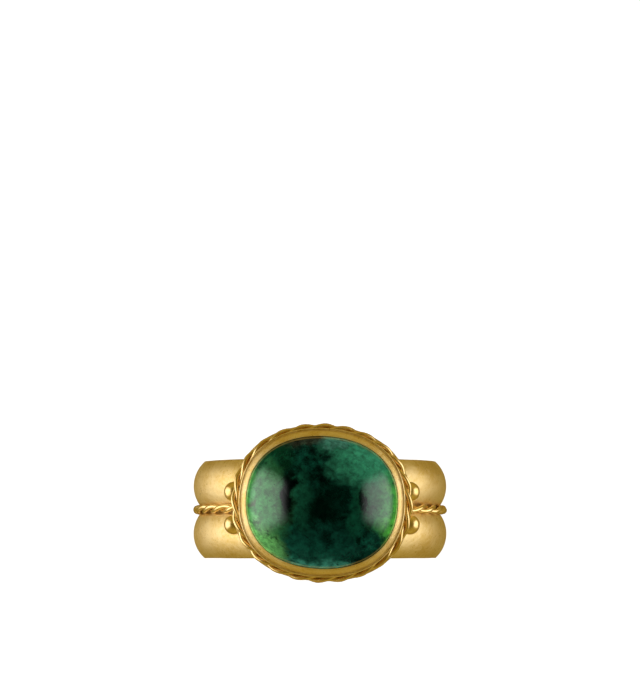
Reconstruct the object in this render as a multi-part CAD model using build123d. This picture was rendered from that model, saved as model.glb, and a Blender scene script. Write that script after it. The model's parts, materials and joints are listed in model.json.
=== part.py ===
from build123d import *
import math
import os

os.makedirs("parts", exist_ok=True)

# A gold cocktail ring: two D-section bands side by side, a twisted wire in the groove
# between them, and an oval cabochon in a bezel with a twisted wire round its foot.
# Millimetres. The origin is the centre of the finger bore, the finger runs along Y and the
# stone looks up along +Z.

# Shank
bore_diameter = 16.9
band_thickness = 1.85  # from the bore to the crown
band_width = 3.84  # one band, measured along the finger
dome_radius = 2.7  # of each band's rounded outside
comfort_round = 0.3  # on the outer edge inside the bore
edge_round = 0.12  # where the dome meets the outer side

# Twisted wires, each of two strands
strand_diameter = 0.37
groove_turns = 18.4  # turns a strand would make round the whole shank
bezel_turns = 12  # turns a strand makes round the collet's foot
points_per_turn = 12
joint_gap = 0.03  # between the two ends of a strand that goes all round
lay_clearance = 0.001  # between each strand and the line where the two touch

# Head
head_shift_x = 0.15  # of the head from the middle of the shank
head_shift_y = 0.35
head_turn = -3.0  # degrees about Z
stone_half_x = 6.05
stone_half_y = 5.25
stone_exponent = 2.23  # 2 would be an ellipse, more is squarer
girdle_height = 0.35
dome_height = 4.6
foot_wall_x = 0.38  # the collet's wall beside the twisted wire, at its two ends
foot_wall_y = 0.28  # and along its two long sides
foot_exponent = 2.09
rim_wall_x = 0.46  # the collet's wall at the rim
rim_wall_y = 0.58
rim_round_height = 0.4
rim_round_width = 0.42
collet_height = 2.55
shoulder_clearance = 0.06  # from the twisted wire up to the collet's shoulder
shoulder_step = 0.04
setting_clearance = 0.01  # between the stone and the wall that holds it
seat_height = 1.2  # from the base plate up to the stone
seat_ledge = 0.8  # how far the bearing reaches under the stone

plate_thickness = 0.55
plate_margin = 0.6  # of the base plate outside the collet's foot
window_margin = 1.7  # of the plate's window inside the collet's foot
collar_rise = 0.3  # from the crown of the bands up to the base plate
collar_reach = 0.95  # how far the collar comes down over the bands
collar_inset_x = 0.21  # of the collar inside the collet's foot
collar_inset_y = 0.63
collar_wall = 0.8

# Granules
granule_diameter = 1.6
granule_spread = 1.3  # half the distance between the two of a pair
granule_sink = 0.08  # each one's dimple in its band
granule_tuck = 0.05  # each one's dimple in the collar

# Fineness of the curves
outline_points = 48
dome_sections = 9
rim_sections = 4
lip_sections = 4

bore_radius = bore_diameter / 2
crown_radius = bore_radius + band_thickness
dome_centre = crown_radius - dome_radius
side_radius = dome_centre + math.sqrt(dome_radius**2 - (band_width / 2) ** 2)

strand_radius = strand_diameter / 2
lay_radius = strand_radius + lay_clearance  # of the helix that a strand's middle follows
wire_radius = lay_radius + strand_radius  # two strands side by side fill this circle
groove_radius = dome_centre + math.sqrt((dome_radius + wire_radius) ** 2 - (band_width / 2) ** 2)

foot_half_x = stone_half_x + foot_wall_x
foot_half_y = stone_half_y + foot_wall_y
rim_half_x = stone_half_x + rim_wall_x
rim_half_y = stone_half_y + rim_wall_y
collar_half_x = foot_half_x - collar_inset_x
collar_half_y = foot_half_y - collar_inset_y

plate_bottom = crown_radius + collar_rise
plate_top = plate_bottom + plate_thickness
shoulder = plate_top + 2 * wire_radius + shoulder_clearance
rim_top = plate_top + collet_height
stone_bottom = plate_top + seat_height
girdle_top = stone_bottom + girdle_height

granule_radius = granule_diameter / 2
granule_x = collar_half_x + granule_radius - granule_tuck
head_place = Pos(head_shift_x, head_shift_y, 0) * Rot(0, 0, head_turn)


def oval_points(half_x, half_y, exponent, z):
    """Points of a superellipse at height z."""
    points = []
    for i in range(outline_points):
        angle = 2 * math.pi * i / outline_points
        c, s = math.cos(angle), math.sin(angle)
        x = math.copysign(abs(c) ** (2 / exponent), c) * half_x
        y = math.copysign(abs(s) ** (2 / exponent), s) * half_y
        points.append((x, y, z))
    return points


def oval(half_x, half_y, exponent, z):
    """A flat oval face at height z."""
    return make_face(Spline(*oval_points(half_x, half_y, exponent, z), periodic=True))


def oval_block(half_x, half_y, exponent, bottom, top):
    """A straight-sided oval block."""
    return extrude(oval(half_x, half_y, exponent, bottom), top - bottom)


def band(side):
    """One D-section hoop, on the +Y or the -Y side of the groove."""
    outline = Polyline(
        (side_radius, 0),
        (bore_radius, 0),
        (bore_radius, side * band_width),
        (side_radius, side * band_width),
    )
    dome = ThreePointArc(
        (side_radius, side * band_width), (crown_radius, side * band_width / 2), (side_radius, 0)
    )
    profile = make_face([outline, dome])
    for corner_radius, rounding in ((bore_radius, comfort_round), (side_radius, edge_round)):
        corner = profile.vertices().sort_by_distance((corner_radius, side * band_width))[0]
        profile = fillet(corner, rounding)
    return revolve(profile, Axis.Y)


def strand(path_points):
    """One round strand along a smooth path."""
    path = Spline(*path_points)
    return sweep(Plane(origin=path @ 0, z_dir=path % 0) * Circle(strand_radius), path=path)


def groove_strand(phase):
    """One strand of the wire that lies between the bands, cut off where it meets the collar."""
    steps = round(points_per_turn * groove_turns)
    start = math.asin((collar_half_x - collar_wall) / groove_radius)
    points = []
    for i in range(steps + 1):
        angle = start + (2 * math.pi - 2 * start) * i / steps
        twist = phase + groove_turns * angle
        out = groove_radius + lay_radius * math.cos(twist)
        points.append((out * math.sin(angle), lay_radius * math.sin(twist), out * math.cos(angle)))
    whole = strand(points)
    return whole - head_place * oval_block(collar_half_x, collar_half_y, foot_exponent, 0, plate_bottom)


def bezel_strand(phase):
    """One strand of the wire round the collet's foot, its two ends butted together."""
    half_x = foot_half_x + wire_radius
    half_y = foot_half_y + wire_radius
    length = math.pi * (half_x + half_y)
    steps = points_per_turn * bezel_turns
    points = []
    for i in range(steps + 1):
        angle = 2 * math.pi * (i / steps) * (1 - joint_gap / length) + math.pi / 2
        c, s = math.cos(angle), math.sin(angle)
        x = math.copysign(abs(c) ** (2 / foot_exponent), c) * half_x
        y = math.copysign(abs(s) ** (2 / foot_exponent), s) * half_y
        out_x = math.copysign(abs(x / half_x) ** (foot_exponent - 1), x) / half_x
        out_y = math.copysign(abs(y / half_y) ** (foot_exponent - 1), y) / half_y
        size = math.hypot(out_x, out_y)
        twist = phase + bezel_turns * angle
        out = lay_radius * math.cos(twist) / size
        up = plate_top + wire_radius + lay_radius * math.sin(twist)
        points.append((x + out * out_x, y + out * out_y, up))
    return head_place * strand(points)


def stone_scale(z):
    """How far the dome has narrowed at height z, as a share of the girdle."""
    rise = max(0.0, (z - girdle_top) / dome_height)
    return math.sqrt(max(0.0, 1 - rise**2))


def cabochon():
    """The stone: a flat base, a short upright girdle and a high dome."""
    girdle = oval_block(stone_half_x, stone_half_y, stone_exponent, stone_bottom, girdle_top)
    sections = []
    for i in range(dome_sections):
        angle = math.pi / 2 * i / dome_sections
        share = math.cos(angle)
        z = girdle_top + dome_height * math.sin(angle)
        sections.append(oval(stone_half_x * share, stone_half_y * share, stone_exponent, z))
    dome = loft(sections + [Vertex(0, 0, girdle_top + dome_height)])
    return head_place * (girdle + dome)


def bezel_collet():
    """The wall round the stone, with a rounded rim burnished over the girdle."""
    round_bottom = rim_top - rim_round_height
    foot = oval_block(foot_half_x, foot_half_y, foot_exponent, plate_top, shoulder)
    wall = loft(
        [
            oval(foot_half_x + shoulder_step, foot_half_y + shoulder_step, foot_exponent, shoulder),
            oval(rim_half_x, rim_half_y, stone_exponent, round_bottom),
        ]
    )
    rounding = []
    for i in range(rim_sections + 1):
        angle = math.pi / 2 * i / rim_sections
        inset = rim_round_width * (1 - math.cos(angle))
        z = round_bottom + rim_round_height * math.sin(angle)
        rounding.append(oval(rim_half_x - inset, rim_half_y - inset, stone_exponent, z))
    body = foot + wall + loft(rounding)
    gap = setting_clearance
    hollow = oval_block(stone_half_x + gap, stone_half_y + gap, stone_exponent, plate_top, girdle_top)
    lip = []
    for i in range(lip_sections + 1):
        z = girdle_top + (rim_top - girdle_top) * i / lip_sections
        share = stone_scale(z)
        lip.append(oval(stone_half_x * share + gap, stone_half_y * share + gap, stone_exponent, z))
    return head_place * (body - hollow - loft(lip))


def bearing_strip():
    """The upright strip inside the collet whose top edge the stone rests on."""
    outside = oval_block(stone_half_x, stone_half_y, stone_exponent, plate_top, stone_bottom)
    inside = oval_block(
        stone_half_x - seat_ledge, stone_half_y - seat_ledge, stone_exponent, plate_top, stone_bottom
    )
    return head_place * (outside - inside)


def base_plate():
    """The flat oval plate under the collet, pierced to let light in behind the stone."""
    outside = oval_block(
        foot_half_x + plate_margin, foot_half_y + plate_margin, foot_exponent, plate_bottom, plate_top
    )
    window = oval_block(
        foot_half_x - window_margin, foot_half_y - window_margin, foot_exponent, plate_bottom, plate_top
    )
    return head_place * (outside - window)


def saddle_collar(cutters):
    """The oval collar under the plate, its lower edge fitted over the bands."""
    outside = oval_block(collar_half_x, collar_half_y, foot_exponent, 0, plate_bottom)
    inside = oval_block(
        collar_half_x - collar_wall, collar_half_y - collar_wall, foot_exponent, 0, plate_bottom
    )
    reach = Rot(90, 0, 0) * Cylinder(crown_radius - collar_reach, 4 * collar_half_y)
    collar = head_place * (outside - inside) - reach
    for cutter in cutters:
        collar = collar - cutter
    return collar


def granule(side_x, side_y):
    """One ball, sunk a little into the crown of its band."""
    y = side_y * granule_spread
    off_crown = abs(y) - band_width / 2
    out = dome_centre + math.sqrt((dome_radius + granule_radius) ** 2 - off_crown**2) - granule_sink
    x = head_shift_x + side_x * granule_x
    return Pos(x, y, math.sqrt(out**2 - x**2)) * Sphere(granule_radius)


granules = {
    "granule_left_back": granule(-1, 1),
    "granule_left_front": granule(-1, -1),
    "granule_right_back": granule(1, 1),
    "granule_right_front": granule(1, -1),
}

back_band = band(1)
front_band = band(-1)
for ball in granules.values():
    back_band = back_band - ball
    front_band = front_band - ball

nodes = {
    "back_band": back_band,
    "front_band": front_band,
    "groove_strand_a": groove_strand(0),
    "groove_strand_b": groove_strand(math.pi),
    "saddle_collar": saddle_collar([back_band, front_band] + list(granules.values())),
    "base_plate": base_plate(),
    "bezel_collet": bezel_collet(),
    "bearing_strip": bearing_strip(),
    "cabochon": cabochon(),
    "bezel_strand_a": bezel_strand(0),
    "bezel_strand_b": bezel_strand(math.pi),
}
nodes.update(granules)

for name, solid in nodes.items():
    solid.label = name
    export_step(solid, f"parts/{name}.step")
    print(name, "solids", len(solid.solids()), "volume", round(solid.volume, 2))
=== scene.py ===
import json
import math

import bpy
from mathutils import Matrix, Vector


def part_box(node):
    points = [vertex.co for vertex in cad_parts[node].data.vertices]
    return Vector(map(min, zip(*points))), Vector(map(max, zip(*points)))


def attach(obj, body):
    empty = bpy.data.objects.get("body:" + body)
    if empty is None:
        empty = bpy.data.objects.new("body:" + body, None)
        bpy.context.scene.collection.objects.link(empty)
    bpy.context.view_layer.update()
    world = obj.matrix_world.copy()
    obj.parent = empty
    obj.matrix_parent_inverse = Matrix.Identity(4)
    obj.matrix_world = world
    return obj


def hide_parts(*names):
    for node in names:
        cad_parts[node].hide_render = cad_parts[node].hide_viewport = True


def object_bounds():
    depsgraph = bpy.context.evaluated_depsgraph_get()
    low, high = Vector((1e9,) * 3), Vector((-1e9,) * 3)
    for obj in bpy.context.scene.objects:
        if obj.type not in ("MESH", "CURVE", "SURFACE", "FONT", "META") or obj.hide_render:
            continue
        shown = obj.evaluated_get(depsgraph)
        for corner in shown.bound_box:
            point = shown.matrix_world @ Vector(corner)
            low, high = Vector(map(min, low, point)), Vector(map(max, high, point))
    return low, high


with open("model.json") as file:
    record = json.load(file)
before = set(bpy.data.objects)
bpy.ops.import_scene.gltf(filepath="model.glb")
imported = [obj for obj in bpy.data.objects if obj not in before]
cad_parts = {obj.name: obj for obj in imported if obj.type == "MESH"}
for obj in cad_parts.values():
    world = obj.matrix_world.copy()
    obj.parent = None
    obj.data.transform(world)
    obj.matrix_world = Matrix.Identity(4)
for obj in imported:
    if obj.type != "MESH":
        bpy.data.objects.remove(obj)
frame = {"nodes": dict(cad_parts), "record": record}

# A gold ring with two satin bands, twisted wire trim and a green cabochon.
# Everything is in metres; sizes below are written in millimetres times mm.

mm = 0.001
scene = bpy.context.scene
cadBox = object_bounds()
groundZ = cadBox[0][2]
stoneLow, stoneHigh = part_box("cabochon")
headCentre = (stoneLow + stoneHigh) / 2
headTurn = math.radians(-3)
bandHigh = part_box("back_band")[1]
crownRadius = bandHigh.z
bandWidth = bandHigh.y
boreRadius = frame["record"]["mounts"][0]["dims"]["r_mm"] * mm
plateLow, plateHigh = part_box("base_plate")
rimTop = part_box("bezel_collet")[1].z


# the camera is over the ring and aims behind it, so the ring stands low in the frame
camera = dict(distance=300 * mm, forward=5 * mm, aimBack=13.88 * mm, lens=194.6)
floor = dict(size=8, color=(0.5, 0.5, 0.5), roughness=0.7, gloss=0.1, glow=1.0)
# the backdrop is only seen behind the set: the room's wall keeps its light off the ring
backdrop = dict(color=(1, 1, 1), strength=1.0)
lamps = [
    dict(name="leftSoftbox", place=(-75 * mm, 2 * mm, 28 * mm), size=(155 * mm, 126 * mm), radiance=1.66),
    dict(name="rightSoftbox", place=(75 * mm, 5 * mm, 25 * mm), size=(118 * mm, 100 * mm), radiance=1.62),
]
feather = 0.34  # share of a softbox's side over which it fades out
# a warm wall round the set that only the metal sees, from underfoot to overhead
warmRoom = dict(
    radius=0.55,
    segments=48,
    strength=0.56,
    stops=[  # height from the lowest point of the wall, and its colour there
        (0.10, (0.56, 0.41, 0.08)),
        (0.48, (0.80, 0.61, 0.13)),
        (0.70, (0.80, 0.62, 0.14)),
        (0.92, (0.40, 0.31, 0.06)),
        (1.00, (0.26, 0.20, 0.04)),
    ],
)


def setCamera():
    eye = Vector((0, -camera["forward"], camera["distance"]))
    target = Vector((0, camera["aimBack"], 0))
    bpy.ops.object.camera_add(location=eye)
    shot = bpy.context.object
    shot.name = "shotCamera"
    shot.rotation_euler = (target - eye).to_track_quat("-Z", "Y").to_euler()
    shot.data.lens = camera["lens"]
    shot.data.clip_start = 0.01
    shot.data.clip_end = 10
    scene.camera = shot


def makeFloor():
    bpy.ops.object.select_all(action="DESELECT")
    bpy.ops.mesh.primitive_plane_add(size=floor["size"], location=(0, 0, groundZ))
    slab = bpy.context.object
    slab.name = "studioFloor"
    mat = bpy.data.materials.new("paperFloor")
    mat.use_nodes = True
    skin = mat.node_tree.nodes["Principled BSDF"]
    skin.inputs["Base Color"].default_value = (*floor["color"], 1)
    skin.inputs["Roughness"].default_value = floor["roughness"]
    skin.inputs["Specular IOR Level"].default_value = floor["gloss"]
    skin.inputs["Emission Color"].default_value = (1, 1, 1, 1)
    skin.inputs["Emission Strength"].default_value = floor["glow"]
    slab.data.materials.append(mat)
    slab.visible_glossy = False  # the softboxes stand through it, so it stays out of the metal
    slab.visible_shadow = False


def featherLamp(data):
    # the light fades towards the sides of the box, as behind a diffuser
    data.use_nodes = True
    tree = data.node_tree
    shine = tree.nodes["Emission"]
    place = tree.nodes.new("ShaderNodeNewGeometry")
    split = tree.nodes.new("ShaderNodeSeparateXYZ")
    tree.links.new(place.outputs["Parametric"], split.inputs["Vector"])
    fade = None
    for share in (split.outputs["X"], split.outputs["Y"]):
        fromMiddle = sums(tree, "ABSOLUTE", sums(tree, "SUBTRACT", share, 0.5), 0)
        fromEdge = sums(tree, "SUBTRACT", 0.5, fromMiddle)
        soft = rangeMap(tree, fromEdge, 0, feather, 0, 1, smooth=True)
        fade = soft if fade is None else sums(tree, "MULTIPLY", fade, soft)
    tree.links.new(fade, shine.inputs["Strength"])


def makeLights():
    for item in lamps:
        spot = Vector(item["place"])
        bpy.ops.object.light_add(type="AREA", location=spot)
        lamp = bpy.context.object
        lamp.name = item["name"]
        lamp.rotation_euler = Vector((-spot.x, 0, 0)).to_track_quat("-Z", "Z").to_euler()
        lamp.data.shape = "RECTANGLE"
        wide, tall = item["size"]
        lamp.data.size, lamp.data.size_y = wide, tall
        lamp.data.energy = item["radiance"] * math.pi * wide * tall
        lamp.visible_camera = False
        featherLamp(lamp.data)
    world = bpy.data.worlds.new("paleBackdrop")
    world.use_nodes = True
    sky = world.node_tree.nodes["Background"]
    sky.inputs["Color"].default_value = (*backdrop["color"], 1)
    sky.inputs["Strength"].default_value = backdrop["strength"]
    scene.world = world
    scene.view_settings.view_transform = "Standard"


def makeWarmRoom():
    bpy.ops.object.select_all(action="DESELECT")
    bpy.ops.mesh.primitive_uv_sphere_add(
        segments=warmRoom["segments"], ring_count=warmRoom["segments"] // 2, radius=warmRoom["radius"]
    )
    wall = bpy.context.object
    wall.name = "warmRoom"
    mat = bpy.data.materials.new("warmWall")
    mat.use_nodes = True
    tree = mat.node_tree
    tree.nodes.remove(tree.nodes["Principled BSDF"])
    shine = tree.nodes.new("ShaderNodeEmission")
    coords = tree.nodes.new("ShaderNodeTexCoord")
    split = tree.nodes.new("ShaderNodeSeparateXYZ")
    tree.links.new(coords.outputs["Object"], split.inputs["Vector"])
    height = rangeMap(tree, split.outputs["Z"], -warmRoom["radius"], warmRoom["radius"], 0, 1)
    tree.links.new(ramp(tree, height, warmRoom["stops"]), shine.inputs["Color"])
    shine.inputs["Strength"].default_value = warmRoom["strength"]
    tree.links.new(shine.outputs["Emission"], tree.nodes["Material Output"].inputs["Surface"])
    wall.data.materials.append(mat)
    wall.visible_camera = False
    seen = bpy.data.collections.new("goldPieces")
    for piece in goldPieces:
        seen.objects.link(piece)
    wall.light_linking.receiver_collection = seen


def newFinish(name, slot):
    mat = bpy.data.materials.new(name)
    mat.use_nodes = True
    mat["slot"] = slot
    return mat, mat.node_tree, mat.node_tree.nodes["Principled BSDF"]


def objectCoords(tree, scale, turn=(0, 0, 0), centre=(0, 0, 0)):
    coords = tree.nodes.new("ShaderNodeTexCoord")
    place = tree.nodes.new("ShaderNodeMapping")
    place.vector_type = "TEXTURE"  # moves to the centre first, then turns and scales
    place.inputs["Location"].default_value = centre
    place.inputs["Rotation"].default_value = turn
    place.inputs["Scale"].default_value = [mm / s for s in scale]
    tree.links.new(coords.outputs["Object"], place.inputs["Vector"])
    return place.outputs["Vector"]


def noise(tree, coords, scale, detail, rough=0.55, warp=0.0):
    tex = tree.nodes.new("ShaderNodeTexNoise")
    tex.inputs["Scale"].default_value = scale
    tex.inputs["Detail"].default_value = detail
    tex.inputs["Roughness"].default_value = rough
    tex.inputs["Distortion"].default_value = warp
    tree.links.new(coords, tex.inputs["Vector"])
    return tex.outputs["Fac"]


def ramp(tree, value, stops):
    node = tree.nodes.new("ShaderNodeValToRGB")
    band = node.color_ramp
    while len(band.elements) < len(stops):
        band.elements.new(0.5)
    for element, (place, color) in zip(band.elements, stops):
        element.position = place
        element.color = (*color, 1)
    tree.links.new(value, node.inputs["Fac"])
    return node.outputs["Color"]


def rangeMap(tree, value, low, high, outLow, outHigh, smooth=False):
    node = tree.nodes.new("ShaderNodeMapRange")
    node.interpolation_type = "SMOOTHSTEP" if smooth else "LINEAR"
    node.inputs["From Min"].default_value = low
    node.inputs["From Max"].default_value = high
    node.inputs["To Min"].default_value = outLow
    node.inputs["To Max"].default_value = outHigh
    tree.links.new(value, node.inputs["Value"])
    return node.outputs["Result"]


def sums(tree, operation, first, second):
    node = tree.nodes.new("ShaderNodeMath")
    node.operation = operation
    for socket, value in zip(node.inputs, (first, second)):
        if isinstance(value, (int, float)):
            socket.default_value = value
        else:
            tree.links.new(value, socket)
    return node.outputs["Value"]


def blendColors(tree, mask, first, second, mode="MIX"):
    node = tree.nodes.new("ShaderNodeMix")
    node.data_type = "RGBA"
    node.blend_type = mode
    colorA, colorB = node.inputs[6], node.inputs[7]  # the names A and B belong to several sockets
    for socket, value in ((node.inputs["Factor"], mask), (colorA, first), (colorB, second)):
        if isinstance(value, (int, float)):
            socket.default_value = value
        elif isinstance(value, tuple):
            socket.default_value = (*value, 1)
        else:
            tree.links.new(value, socket)
    return node.outputs[2]  # the colour result


def bump(tree, height, depth, under=None):
    node = tree.nodes.new("ShaderNodeBump")
    node.inputs["Strength"].default_value = 1
    node.inputs["Distance"].default_value = depth
    tree.links.new(height, node.inputs["Height"])
    if under is not None:
        tree.links.new(under, node.inputs["Normal"])
    return node.outputs["Normal"]


# pattern scales are waves to the millimetre
satin = dict(
    pale=(0.92, 0.73, 0.42),
    deep=(0.78, 0.56, 0.21),
    toneRange=(0.44, 0.545),
    brushShare=0.7,
    roughness=(0.25, 0.45),
    cloudScale=0.5,
    grainScale=7,
    grainDepth=0.012 * mm,
    scratchScale=(0.45, 4.2, 4.2),
    scratchDepth=0.09 * mm,
    brushTurns=(0.6, -0.35, 1.1),
    brushTilt=0.7,
)
polish = dict(
    pale=(0.90, 0.69, 0.37),
    deep=(0.76, 0.53, 0.20),
    toneRange=(0.38, 0.60),
    roughness=(0.14, 0.28),
    dentScale=1.9,
    dentDepth=0.010 * mm,
    rubScale=9,
    rubDepth=0.003 * mm,
)


def mixValues(tree, first, second, share):
    rest = sums(tree, "MULTIPLY", first, 1 - share)
    return sums(tree, "ADD", rest, sums(tree, "MULTIPLY", second, share))


def makeSatinGold():
    mat, tree, skin = newFinish("satinGold", "satin_gold")
    even = objectCoords(tree, (1, 1, 1))
    blotch = noise(tree, even, satin["cloudScale"], detail=3)
    grain = noise(tree, even, satin["grainScale"], detail=6, rough=0.75)
    # brush strokes crossing in several directions
    scratches = None
    for turn in satin["brushTurns"]:
        along = objectCoords(tree, satin["scratchScale"], turn=(0, turn * satin["brushTilt"], turn))
        brush = noise(tree, along, 1.0, detail=8, rough=0.8)
        scratches = brush if scratches is None else sums(tree, "ADD", scratches, brush)
    scratches = sums(tree, "DIVIDE", scratches, len(satin["brushTurns"]))
    tone = mixValues(tree, blotch, scratches, satin["brushShare"])
    color = ramp(tree, tone, list(zip(satin["toneRange"], (satin["deep"], satin["pale"]))))
    tree.links.new(color, skin.inputs["Base Color"])
    worn = mixValues(tree, grain, scratches, 0.5)
    tree.links.new(rangeMap(tree, worn, 0.4, 0.6, *satin["roughness"]), skin.inputs["Roughness"])
    fine = bump(tree, grain, satin["grainDepth"])
    tree.links.new(bump(tree, scratches, satin["scratchDepth"], under=fine), skin.inputs["Normal"])
    skin.inputs["Metallic"].default_value = 1
    return mat


def makePolishedGold():
    mat, tree, skin = newFinish("polishedGold", "polished_gold")
    even = objectCoords(tree, (1, 1, 1))
    dents = noise(tree, even, polish["dentScale"], detail=2)
    rubs = noise(tree, even, polish["rubScale"], detail=6, rough=0.7)
    tone = mixValues(tree, dents, rubs, 0.5)
    color = ramp(tree, tone, list(zip(polish["toneRange"], (polish["deep"], polish["pale"]))))
    tree.links.new(color, skin.inputs["Base Color"])
    tree.links.new(rangeMap(tree, rubs, 0.3, 0.7, *polish["roughness"]), skin.inputs["Roughness"])
    soft = bump(tree, dents, polish["dentDepth"])
    tree.links.new(bump(tree, rubs, polish["rubDepth"], under=soft), skin.inputs["Normal"])
    skin.inputs["Metallic"].default_value = 1
    return mat


satinGold = makeSatinGold()
polishedGold = makePolishedGold()
print("gold finishes made")


def pickOnly(piece):
    bpy.ops.object.select_all(action="DESELECT")
    piece.select_set(True)
    bpy.context.view_layer.objects.active = piece


def startEdit(piece):
    pickOnly(piece)
    bpy.ops.object.mode_set(mode="EDIT")


def endEdit():
    bpy.ops.object.mode_set(mode="OBJECT")


def applyPlace(piece):
    pickOnly(piece)
    bpy.ops.object.transform_apply(location=True, rotation=True, scale=True)


def pickVerts(piece, test):
    # edit mode stays on; the choice is made by each point's place
    bpy.ops.mesh.select_all(action="DESELECT")
    bpy.ops.object.mode_set(mode="OBJECT")
    for vert in piece.data.vertices:
        vert.select = bool(test(vert.co))
    bpy.ops.object.mode_set(mode="EDIT")


weldGap = 0.001 * mm


def cleanUp():
    bpy.ops.mesh.select_all(action="SELECT")
    bpy.ops.mesh.remove_doubles(threshold=weldGap)
    bpy.ops.mesh.normals_make_consistent(inside=False)


goldPieces = []  # what the warm wall lights


def finishPiece(piece, name, mat, replaced, smoothAngle):
    piece.name = name
    piece.data.name = name
    piece.data.materials.clear()
    piece.data.materials.append(mat)
    applyPlace(piece)
    bpy.ops.object.shade_smooth_by_angle(angle=math.radians(smoothAngle))
    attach(piece, "root")
    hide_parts(replaced)
    if "gold" in mat["slot"]:
        goldPieces.append(piece)


def addModifier(piece, kind, **settings):
    pickOnly(piece)
    mod = piece.modifiers.new(kind.title(), kind)
    for key, value in settings.items():
        setattr(mod, key, value)
    return mod


def applyModifiers(piece):
    for mod in list(piece.modifiers):
        bpy.ops.object.modifier_apply(modifier=mod.name)


def roughen(piece, name, size, strength):
    # the slight unevenness of a piece filed and finished by hand
    hand = bpy.data.textures.new(name + "Hand", "CLOUDS")
    hand.noise_scale = size
    addModifier(
        piece, "DISPLACE", texture=hand, texture_coords="OBJECT", strength=strength, mid_level=0.5
    )
    applyModifiers(piece)


# the two bands: a D section spun round the finger
bands = dict(
    domeRadius=2.7 * mm,
    comfortRound=0.3 * mm,
    edgeRound=0.14 * mm,
    seamRound=0.05 * mm,
    roundSegments=5,
    longEdge=0.3 * mm,
    longEdgeCuts=7,
    arcPoints=128,
    steps=240,
    handFinish=0.035 * mm,
    handScale=3.2 * mm,
)


def makeBand(name, side):
    sideY = side * bandWidth
    bpy.ops.object.select_all(action="DESELECT")
    centre = (crownRadius - bands["domeRadius"], sideY / 2, 0)
    bpy.ops.mesh.primitive_circle_add(
        vertices=bands["arcPoints"], radius=bands["domeRadius"], fill_type="NGON", location=centre
    )
    band = bpy.context.object
    applyPlace(band)
    startEdit(band)
    # the D section: the bore side and the two upright sides are cut off the round
    cuts = (((boreRadius, 0, 0), (-1, 0, 0)), ((0, 0, 0), (0, -side, 0)), ((0, sideY, 0), (0, side, 0)))
    for point, normal in cuts:
        bpy.ops.mesh.select_all(action="SELECT")
        bpy.ops.mesh.bisect(plane_co=point, plane_no=normal, clear_outer=True, use_fill=False)
    reach = math.sqrt(bands["domeRadius"] ** 2 - (bandWidth / 2) ** 2)
    corners = (
        (boreRadius, sideY, bands["comfortRound"]),
        (boreRadius, 0, bands["seamRound"]),
        (crownRadius - bands["domeRadius"] + reach, sideY, bands["edgeRound"]),
    )
    near = 0.02 * mm
    for x, y, size in corners:
        pickVerts(band, lambda co: abs(co.x - x) < near and abs(co.y - y) < near)
        bpy.ops.mesh.bevel(
            offset=size, offset_type="OFFSET", segments=bands["roundSegments"], affect="VERTICES"
        )
    bpy.ops.mesh.select_all(action="SELECT")
    bpy.ops.mesh.delete(type="ONLY_FACE")
    # the long straight edges are divided so that the hand finish reaches the bore and the sides
    bpy.ops.object.mode_set(mode="OBJECT")
    verts = band.data.vertices
    for edge in band.data.edges:
        a, b = (verts[i].co for i in edge.vertices)
        edge.select = (a - b).length > bands["longEdge"]
    bpy.ops.object.mode_set(mode="EDIT")
    bpy.ops.mesh.select_mode(type="EDGE")
    bpy.ops.mesh.subdivide(number_cuts=bands["longEdgeCuts"])
    bpy.ops.mesh.select_mode(type="VERT")
    bpy.ops.mesh.select_all(action="SELECT")
    bpy.ops.mesh.spin(steps=bands["steps"], angle=2 * math.pi, center=(0, 0, 0), axis=(0, 1, 0))
    cleanUp()
    endEdit()
    roughen(band, name, bands["handScale"], bands["handFinish"])
    finishPiece(band, name, satinGold, name.replace("hoop", "band"), smoothAngle=50)


makeBand("back_hoop", 1)
makeBand("front_hoop", -1)
print("bands spun")


# the head's outlines: ovals a little squarer than an ellipse
headOval = dict(girdleX=6.05 * mm, girdleY=5.25 * mm, squareness=2.23, wireSquareness=2.12, points=40)


def ovalPath(name, halfX, halfY, squareness, centre, turn=headTurn):
    # A bezier circle whose handles are lengthened until its diagonal point is the superellipse's.
    # On the diagonal a quarter lies at 0.5 + 0.375 of its handle's length.
    bpy.ops.object.select_all(action="DESELECT")
    bpy.ops.curve.primitive_bezier_circle_add(radius=1, location=(0, 0, 0))
    path = bpy.context.object
    path.name = name
    reach = (2 ** (-1 / squareness) - 0.5) / 0.375
    for point in path.data.splines[0].bezier_points:
        for side in ("handle_left", "handle_right"):
            handle = getattr(point, side) - point.co
            setattr(point, side + "_type", "FREE")
            setattr(point, side, point.co + handle.normalized() * reach)
    path.scale = (halfX, halfY, 1)
    path.rotation_euler.z = turn
    path.location = centre
    applyPlace(path)
    for point in path.data.splines[0].bezier_points:
        point.radius = 1  # or the wire bent along it would shrink with the path
    return path


def ovalLoop(name, halfX, halfY, z, pointsPerSide):
    # the same outline as a ring of points, ready to be extruded
    centre = (headCentre.x, headCentre.y, z)
    path = ovalPath(name, halfX, halfY, headOval["squareness"], centre)
    path.data.resolution_u = pointsPerSide
    bpy.ops.object.convert(target="MESH")
    return bpy.context.object


def growLoop(fromSize, toSize, rise):
    # extrudes the chosen ring of points and resizes it about the head's centre
    factorX, factorY = toSize[0] / fromSize[0], toSize[1] / fromSize[1]
    bpy.ops.mesh.extrude_region_move(TRANSFORM_OT_translate={"value": (0, 0, rise)})
    bpy.ops.transform.rotate(value=headTurn, orient_axis="Z", center_override=headCentre)
    bpy.ops.transform.resize(value=(factorX, factorY, 1), center_override=headCentre)
    bpy.ops.transform.rotate(value=-headTurn, orient_axis="Z", center_override=headCentre)


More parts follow.
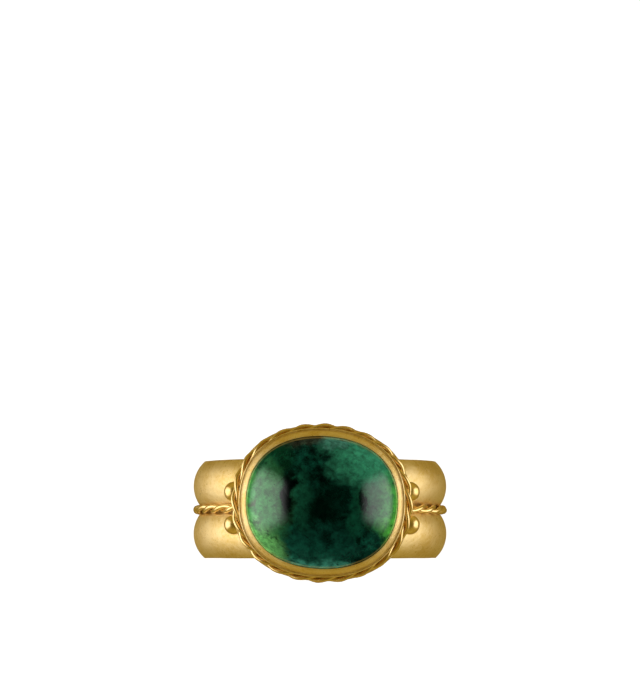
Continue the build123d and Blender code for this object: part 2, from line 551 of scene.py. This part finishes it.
def latheOval(name, rings):
    # rings: (half length, half width, height) one after another round the section
    halfX, halfY, height = rings[0]
    piece = ovalLoop(name, halfX, halfY, height, headOval["points"])
    startEdit(piece)
    bpy.ops.mesh.select_all(action="SELECT")
    for nextX, nextY, nextHeight in rings[1:] + rings[:1]:
        growLoop((halfX, halfY), (nextX, nextY), nextHeight - height)
        halfX, halfY, height = nextX, nextY, nextHeight
    cleanUp()
    endEdit()
    return piece


stone = dict(girdle=0.35 * mm, baseBevel=0.12 * mm, rings=44, points=48)


def makeStone():
    halfX, halfY = headOval["girdleX"], headOval["girdleY"]
    bottom, top = stoneLow.z, stoneHigh.z
    girdleTop = bottom + stone["girdle"]
    dome = ovalLoop("cabochon_dome", halfX, halfY, girdleTop, stone["points"])
    startEdit(dome)
    bpy.ops.mesh.select_all(action="SELECT")
    share, height = 1.0, girdleTop
    for ring in range(1, stone["rings"]):
        angle = math.pi / 2 * ring / stone["rings"]
        nextShare, nextHeight = math.cos(angle), girdleTop + (top - girdleTop) * math.sin(angle)
        growLoop((share, share), (nextShare, nextShare), nextHeight - height)
        share, height = nextShare, nextHeight
    bpy.ops.mesh.edge_face_add()
    bpy.ops.mesh.poke()
    # the point of the poked cap is lifted to the top of the dome
    pickVerts(dome, lambda co: (co.xy - headCentre.xy).length < 0.01 * mm)
    bpy.ops.transform.translate(value=(0, 0, top - height))
    pickVerts(dome, lambda co: abs(co.z - girdleTop) < 0.001 * mm)
    bpy.ops.mesh.extrude_region_move(
        TRANSFORM_OT_translate={"value": (0, 0, bottom + stone["baseBevel"] - girdleTop)}
    )
    inset = 1 - stone["baseBevel"] / halfY
    bpy.ops.mesh.extrude_region_move(TRANSFORM_OT_translate={"value": (0, 0, -stone["baseBevel"])})
    bpy.ops.transform.resize(value=(inset, inset, 1), center_override=headCentre)
    bpy.ops.mesh.edge_face_add()
    cleanUp()
    endEdit()
    finishPiece(dome, "cabochon_dome", greenStone, "cabochon", smoothAngle=35)


# patches of colour in the stone, partly its own green and partly painted light: painted glow along its
# thin edges, painted shade deepening its thick middle, and painted dark edges beside the softbox
# reflections; at and size are shares of its half length and half width
gem = dict(
    dark=(0.0010, 0.016, 0.008),
    mid=(0.004, 0.060, 0.030),
    teal=(0.012, 0.170, 0.090),
    bodyStops=(0.40, 0.50, 0.64),
    ior=1.6,
    roughness=(0.07, 0.15),
    coat=dict(weight=0.25, roughness=0.08),
    waver=dict(scale=0.9, detail=4, rough=0.56, reach=0.34),
    broad=dict(scale=0.45, detail=5, rough=0.6, warp=0.8),
    mottle=dict(scale=1.8, detail=8, rough=0.72, warp=0.3),
    specks=dict(scale=4.2, detail=4, rough=0.7),
    speckColor=(0.0015, 0.008, 0.004),
    streaks=dict(scale=1.0, detail=6, rough=0.7),
    streakColor=(0.004, 0.016, 0.008),
    polishMarks=dict(scale=12, detail=4, rough=0.6),
    ripple=0.02 * mm,
    cloudsAndPaintedLight=[
        dict(color=(0.080, 0.560, 0.270), at=(0.46, 0.56), size=(0.55, 0.42), turn=-0.6, amount=0.9),
        dict(color=(0.014, 0.160, 0.090), at=(0.02, -0.62), size=(0.75, 0.34), turn=0.1, amount=0.7),
        dict(color=(0.020, 0.200, 0.090), at=(-0.26, 0.02), size=(0.18, 0.55), turn=0.1, amount=0.85),
        dict(color=(0.014, 0.180, 0.080), at=(0.45, -0.12), size=(0.15, 0.50), turn=0.0, amount=0.8),
        dict(color=(0.005, 0.060, 0.018), at=(-0.62, 0.66), size=(0.30, 0.34), turn=0.6, amount=0.85),
        # painted glow of light shining through the stone's thin edge, along the bottom and along the top
        dict(color=(0.090, 0.520, 0.330), at=(0.0, -1.0), size=(0.75, 0.15), turn=0.0, amount=0.9),
        dict(color=(0.150, 0.520, 0.330), at=(0.14, 0.92), size=(0.32, 0.12), turn=0.0, amount=0.75),
        dict(color=(0.085, 0.080, 0.040), at=(-0.26, 0.90), size=(0.32, 0.13), turn=0.3, amount=0.6),
        # painted glow of light shining through the stone's thin left, lower left and right edges
        dict(color=(0.100, 0.460, 0.130), at=(-0.75, -0.06), size=(0.42, 0.66), turn=0.0, amount=0.9),
        dict(color=(0.230, 0.720, 0.180), at=(-0.79, -0.60), size=(0.62, 0.25), turn=-0.88, amount=0.95),
        dict(color=(0.110, 0.560, 0.060), at=(0.93, -0.16), size=(0.26, 0.70), turn=0.12, amount=0.95),
        dict(color=(0.050, 0.300, 0.110), at=(0.72, 0.06), size=(0.25, 0.52), turn=0.0, amount=0.7),
        # painted glow: a bright line of light shining through the thin left edge
        dict(color=(0.090, 0.480, 0.080), at=(-0.98, 0.02), size=(0.10, 0.90), turn=0.0, amount=0.85),
        # the stone's own dark green, deepened by painted shade of its thick middle
        dict(color=(0.0016, 0.040, 0.020), at=(0.13, 0.04), size=(0.28, 0.36), turn=0.0, amount=0.9),
        dict(color=(0.0008, 0.020, 0.009), at=(-0.02, -0.12), size=(0.19, 0.25), turn=0.0, amount=1.0),
        # painted dark edges along the inner sides of the left and right softbox reflections
        dict(color=(0.0003, 0.006, 0.003), at=(-0.43, 0.08), size=(0.10, 0.52), turn=-0.05, amount=1.0),
        dict(color=(0.0003, 0.006, 0.003), at=(0.535, 0.03), size=(0.045, 0.24), turn=0.04, amount=0.9),
        dict(color=(0.0008, 0.014, 0.006), at=(0.50, -0.56), size=(0.07, 0.12), turn=0.2, amount=0.9),
        dict(color=(0.0008, 0.012, 0.007), at=(0.03, 0.63), size=(0.10, 0.08), turn=0.4, amount=0.85),
        dict(color=(0.0014, 0.018, 0.010), at=(0.08, -0.54), size=(0.13, 0.12), turn=0.0, amount=0.75),
        dict(color=(0.120, 0.085, 0.070), at=(-0.88, -0.06), size=(0.05, 0.06), turn=0.4, amount=0.7),
        dict(color=(0.010, 0.050, 0.020), at=(-0.84, -0.36), size=(0.04, 0.13), turn=0.7, amount=0.6),
        dict(color=(0.006, 0.040, 0.016), at=(-0.64, -0.55), size=(0.03, 0.10), turn=0.8, amount=0.7),
    ],
)


def stonePatch(tree, coords, blotch):
    # an oval patch with a soft edge, drawn out of true by the wavering coordinates
    place = tree.nodes.new("ShaderNodeMapping")
    place.vector_type = "TEXTURE"
    place.inputs["Location"].default_value = (*blotch["at"], 0)
    place.inputs["Rotation"].default_value = (0, 0, blotch["turn"])
    place.inputs["Scale"].default_value = (*blotch["size"], 1)
    tree.links.new(coords, place.inputs["Vector"])
    reach = tree.nodes.new("ShaderNodeVectorMath")
    reach.operation = "LENGTH"
    tree.links.new(place.outputs["Vector"], reach.inputs[0])
    return rangeMap(tree, reach.outputs["Value"], 1.15, 0.35, 0, blotch["amount"], smooth=True)


def makeGreenStone():
    mat, tree, skin = newFinish("greenStone", "green_stone")
    middle = (headCentre.x, headCentre.y, 0)
    even = objectCoords(tree, (1, 1, 0.6), centre=middle)
    halfX, halfY = headOval["girdleX"] / mm, headOval["girdleY"] / mm
    oval = objectCoords(tree, (1 / halfX, 1 / halfY, 0.001), centre=middle, turn=(0, 0, headTurn))
    waver = tree.nodes.new("ShaderNodeTexNoise")
    waver.inputs["Scale"].default_value = gem["waver"]["scale"]
    waver.inputs["Detail"].default_value = gem["waver"]["detail"]
    waver.inputs["Roughness"].default_value = gem["waver"]["rough"]
    tree.links.new(even, waver.inputs["Vector"])
    push = tree.nodes.new("ShaderNodeVectorMath")
    push.operation = "MULTIPLY_ADD"
    push.inputs[1].default_value = (gem["waver"]["reach"], gem["waver"]["reach"], 0)
    tree.links.new(waver.outputs["Color"], push.inputs[0])
    tree.links.new(oval, push.inputs[2])
    shift = tree.nodes.new("ShaderNodeVectorMath")
    shift.operation = "SUBTRACT"
    shift.inputs[1].default_value = (gem["waver"]["reach"] / 2, gem["waver"]["reach"] / 2, 0)
    tree.links.new(push.outputs["Vector"], shift.inputs[0])
    wavy = shift.outputs["Vector"]
    broad = noise(tree, even, **gem["broad"])
    mottle = noise(tree, even, **gem["mottle"])
    bodyColors = (gem["dark"], gem["mid"], gem["teal"])
    body = ramp(tree, mixValues(tree, broad, mottle, 0.45), list(zip(gem["bodyStops"], bodyColors)))
    for blotch in gem["cloudsAndPaintedLight"]:
        body = blendColors(tree, stonePatch(tree, wavy, blotch), body, blotch["color"])
    # fine inclusions: dark specks, and short streaks that lean one way
    veil = rangeMap(tree, mottle, 0.36, 0.64, 0.5, 1.45)
    body = blendColors(tree, 1.0, body, veil, mode="MULTIPLY")
    specks = rangeMap(tree, noise(tree, even, **gem["specks"]), 0.63, 0.70, 0, 0.85)
    body = blendColors(tree, specks, body, gem["speckColor"])
    streaked = objectCoords(tree, (0.8, 5.5, 1), turn=(0, 0, -0.75), centre=middle)
    streaks = rangeMap(tree, noise(tree, streaked, **gem["streaks"]), 0.58, 0.70, 0, 0.7)
    body = blendColors(tree, streaks, body, gem["streakColor"])
    tree.links.new(body, skin.inputs["Base Color"])
    polishMarks = noise(tree, even, **gem["polishMarks"])
    tree.links.new(rangeMap(tree, polishMarks, 0.3, 0.7, *gem["roughness"]), skin.inputs["Roughness"])
    tree.links.new(bump(tree, broad, gem["ripple"]), skin.inputs["Normal"])
    skin.inputs["IOR"].default_value = gem["ior"]
    skin.inputs["Coat Weight"].default_value = gem["coat"]["weight"]
    skin.inputs["Coat Roughness"].default_value = gem["coat"]["roughness"]
    return mat


greenStone = makeGreenStone()
makeStone()
print("stone domed")


# the wall round the stone; footWall and rimWall stand outside the girdle, along x and along y
collet = dict(
    footWall=(0.38 * mm, 0.28 * mm),
    rimWall=(0.46 * mm, 0.58 * mm),
    shoulder=0.80 * mm,
    shoulderRise=0.08 * mm,
    shoulderRound=0.04 * mm,
    ledgeRound=0.09 * mm,
    ledgeWidth=0.11 * mm,
    ledgeDrop=0.44 * mm,
    lineDepth=0.035 * mm,
    lineWidth=0.06 * mm,
    faceSteps=12,
    faceSwell=0.5,
    faceReach=0.9,
    faceStep=0.02 * mm,
    mouth=(5.895 * mm, 5.115 * mm),
    lipDrop=0.07 * mm,
    gap=0.01 * mm,
    handFinish=0.03 * mm,
    handScale=1.6 * mm,
)


def makeCollet():
    girdleX, girdleY = headOval["girdleX"], headOval["girdleY"]
    foot = [half + wall for half, wall in zip((girdleX, girdleY), collet["footWall"])]
    rim = [half + wall for half, wall in zip((girdleX, girdleY), collet["rimWall"])]
    plateTop = plateHigh.z
    shoulder = plateTop + collet["shoulder"]
    ledge = rimTop - collet["ledgeDrop"]
    faceOut = [half - collet["ledgeWidth"] - collet["lineWidth"] for half in rim]

    def ring(base, outward, height):
        return (base[0] + outward, base[1] + outward, height)

    rings = [
        ring(foot, 0, plateTop),
        ring(foot, 0, shoulder - collet["shoulderRound"]),
        ring(foot, collet["shoulderRound"], shoulder),
        ring(rim, 0, shoulder + collet["shoulderRise"]),
        ring(rim, 0, ledge - collet["ledgeRound"]),
        ring(rim, -0.025 * mm, ledge - 0.03 * mm),
        ring(rim, -0.07 * mm, ledge),
        ring(rim, -collet["ledgeWidth"], ledge - 0.01 * mm),
        ring(rim, -collet["ledgeWidth"] - collet["lineWidth"] * 0.5, ledge - collet["lineDepth"]),
    ]
    # the face slopes, a little swollen, from the engraved line up to the mouth that grips the stone
    faceLow = ledge - collet["faceStep"]
    for step in range(collet["faceSteps"] + 1):
        along = step / collet["faceSteps"]
        angle = math.pi / 2 * along
        share = along + (1 - math.cos(angle) - along) * collet["faceSwell"]
        climb = along + (math.sin(angle) - along) * collet["faceSwell"]
        height = faceLow + (rimTop - faceLow) * climb
        inward = share * collet["faceReach"]
        face = [out + (inner - out) * inward for out, inner in zip(faceOut, collet["mouth"])]
        rings.append((*face, height))
    rings += [
        ring(collet["mouth"], 0.015 * mm, rimTop - 0.03 * mm),
        ring(collet["mouth"], 0, rimTop - collet["lipDrop"]),
        (girdleX + collet["gap"], girdleY + collet["gap"], rimTop - 2.6 * collet["lipDrop"]),
        (girdleX + collet["gap"], girdleY + collet["gap"], plateTop),
    ]
    wall = latheOval("stone_collet", rings)
    roughen(wall, "rim", collet["handScale"], collet["handFinish"])
    finishPiece(wall, "stone_collet", satinGold, "bezel_collet", smoothAngle=38)


plate = dict(margin=0.6 * mm, window=1.7 * mm, bevel=0.09 * mm)


def makePlate():
    footX = headOval["girdleX"] + collet["footWall"][0]
    footY = headOval["girdleY"] + collet["footWall"][1]
    low, high, bevel = plateLow.z, plateHigh.z, plate["bevel"]
    # a rounded corner, as steps inwards and steps up or down from the plate's faces
    corner = [(0, bevel), (bevel * 0.3, bevel * 0.3), (bevel, 0)]
    rings = []
    for outward, turn in ((plate["margin"], 1), (-plate["window"], -1)):
        side = [(low + rise, drop) for drop, rise in reversed(corner)]
        side += [(high - rise, drop) for drop, rise in corner]
        if turn < 0:
            side = side[::-1]
        rings += [(footX + outward - turn * drop, footY + outward - turn * drop, z) for z, drop in side]
    piece = latheOval("oval_plate", rings)
    finishPiece(piece, "oval_plate", satinGold, "base_plate", smoothAngle=30)


makeCollet()
makePlate()
print("collet and plate made")


# footHeight and underside: where the solder foot lies and the ball is flattened, in radii
granule = dict(
    radius=0.8 * mm,
    squash=0.97,
    footHeight=-0.55,
    underside=-0.9,
    footWidth=0.07 * mm,
    footDepth=0.10 * mm,
    handFinish=0.035 * mm,
    handScale=0.7 * mm,
)


def makeGranule(node):
    low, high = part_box(node)
    centre = (low + high) / 2
    bpy.ops.object.select_all(action="DESELECT")
    bpy.ops.mesh.primitive_uv_sphere_add(segments=64, ring_count=40, radius=granule["radius"])
    ball = bpy.context.object
    # a collar of solder swells out where the ball sinks into its band
    startEdit(ball)
    seat = granule["radius"] * granule["footHeight"]
    pickVerts(ball, lambda co: seat - granule["footDepth"] < co.z < seat + granule["footDepth"])
    swell = 1 + granule["footWidth"] / granule["radius"]
    bpy.ops.transform.resize(value=(swell, swell, 1), center_override=(0, 0, 0))
    pickVerts(ball, lambda co: co.z < granule["radius"] * granule["underside"])
    bpy.ops.transform.translate(value=(0, 0, granule["footDepth"]))
    endEdit()
    outward = Vector((centre.x, 0, centre.z)).to_track_quat("Z", "Y")
    ball.rotation_euler = outward.to_euler()
    ball.scale.z = granule["squash"]
    ball.location = centre
    applyPlace(ball)
    roughen(ball, node, granule["handScale"], granule["handFinish"])
    finishPiece(ball, node.replace("granule", "ball"), polishedGold, node, smoothAngle=60)


for side in ("left", "right"):
    for end in ("back", "front"):
        makeGranule(f"granule_{side}_{end}")
print("granules set")


# strand: a strand's radius; lay: its distance from the wire's middle; turns: twists to a full circle
wire = dict(strand=0.185 * mm, lay=0.186 * mm, ringPoints=14, stepsPerTurn=22)
grooveWire = dict(turns=18.4, tuckedX=6.0 * mm)
bezelWire = dict(turns=12, halfX=6.80 * mm, halfY=5.90 * mm)


def straightStrand(name, length, turns, phase):
    # a small ring beside the Z axis is drawn up along it in a screw
    bpy.ops.object.select_all(action="DESELECT")
    spot = (wire["lay"] * math.cos(phase), wire["lay"] * math.sin(phase), 0)
    lean = math.atan2(2 * math.pi * turns * wire["lay"], length)
    bpy.ops.mesh.primitive_circle_add(vertices=wire["ringPoints"], radius=wire["strand"], location=spot)
    strand = bpy.context.object
    strand.name = name
    strand.rotation_euler = (lean, 0, phase)
    applyPlace(strand)
    steps = round(turns * wire["stepsPerTurn"])
    twist = -2 * math.pi * turns  # left-handed
    addModifier(
        strand, "SCREW", axis="Z", angle=twist, screw_offset=length, steps=steps, render_steps=steps
    )
    applyModifiers(strand)
    return strand


def layStrand(strand, path):
    addModifier(strand, "CURVE", object=path, deform_axis="POS_Z")
    applyModifiers(strand)
    startEdit(strand)
    cleanUp()
    endEdit()
    replaced = strand.name.replace("twist", "strand")
    finishPiece(strand, strand.name, polishedGold, replaced, smoothAngle=60)


def makeBezelWire():
    centreZ = plateHigh.z + wire["strand"] + wire["lay"]
    centre = (headCentre.x, headCentre.y, centreZ)
    halfX, halfY, squareness = bezelWire["halfX"], bezelWire["halfY"], headOval["wireSquareness"]
    path = ovalPath("wirePath", halfX, halfY, squareness, centre)
    length = path.data.splines[0].calc_length()
    for letter, phase in (("a", 0), ("b", math.pi)):
        strand = straightStrand("bezel_twist_" + letter, length, bezelWire["turns"], phase)
        layStrand(strand, path)
    bpy.data.objects.remove(path)


def makeGrooveWire():
    domeCentre = crownRadius - bands["domeRadius"]
    reach = bands["domeRadius"] + wire["strand"] + wire["lay"]
    pathRadius = domeCentre + math.sqrt(reach**2 - (bandWidth / 2) ** 2)
    start = math.asin(grooveWire["tuckedX"] / pathRadius)
    covered = 2 * math.pi - 2 * start
    path = ovalPath("groovePath", pathRadius, pathRadius, 2, (0, 0, 0), turn=0)
    # stood up, and turned to run from the right of the head, under the finger, to its left
    path.rotation_euler = (math.pi / 2, math.pi + start, 0)
    applyPlace(path)
    for letter, phase in (("a", 0), ("b", math.pi)):
        turns = grooveWire["turns"] * covered / (2 * math.pi)
        strand = straightStrand("groove_twist_" + letter, pathRadius * covered, turns, phase)
        # the two open ends are capped before the wire is bent
        startEdit(strand)
        bpy.ops.mesh.select_all(action="DESELECT")
        bpy.ops.mesh.select_mode(type="EDGE")
        bpy.ops.mesh.select_non_manifold()
        bpy.ops.mesh.edge_face_add()
        bpy.ops.mesh.select_mode(type="VERT")
        endEdit()
        layStrand(strand, path)
    bpy.data.objects.remove(path)


makeBezelWire()
makeGrooveWire()
print("wires twisted")


# the collar under the plate and the ledge under the stone keep their shape and get the satin finish
for name in ("saddle_collar", "bearing_strip"):
    node = frame["nodes"][name]
    for slot in node.material_slots:
        slot.material = satinGold
    goldPieces.append(node)

setCamera()
makeFloor()
makeLights()
makeWarmRoom()
print("studio set up")
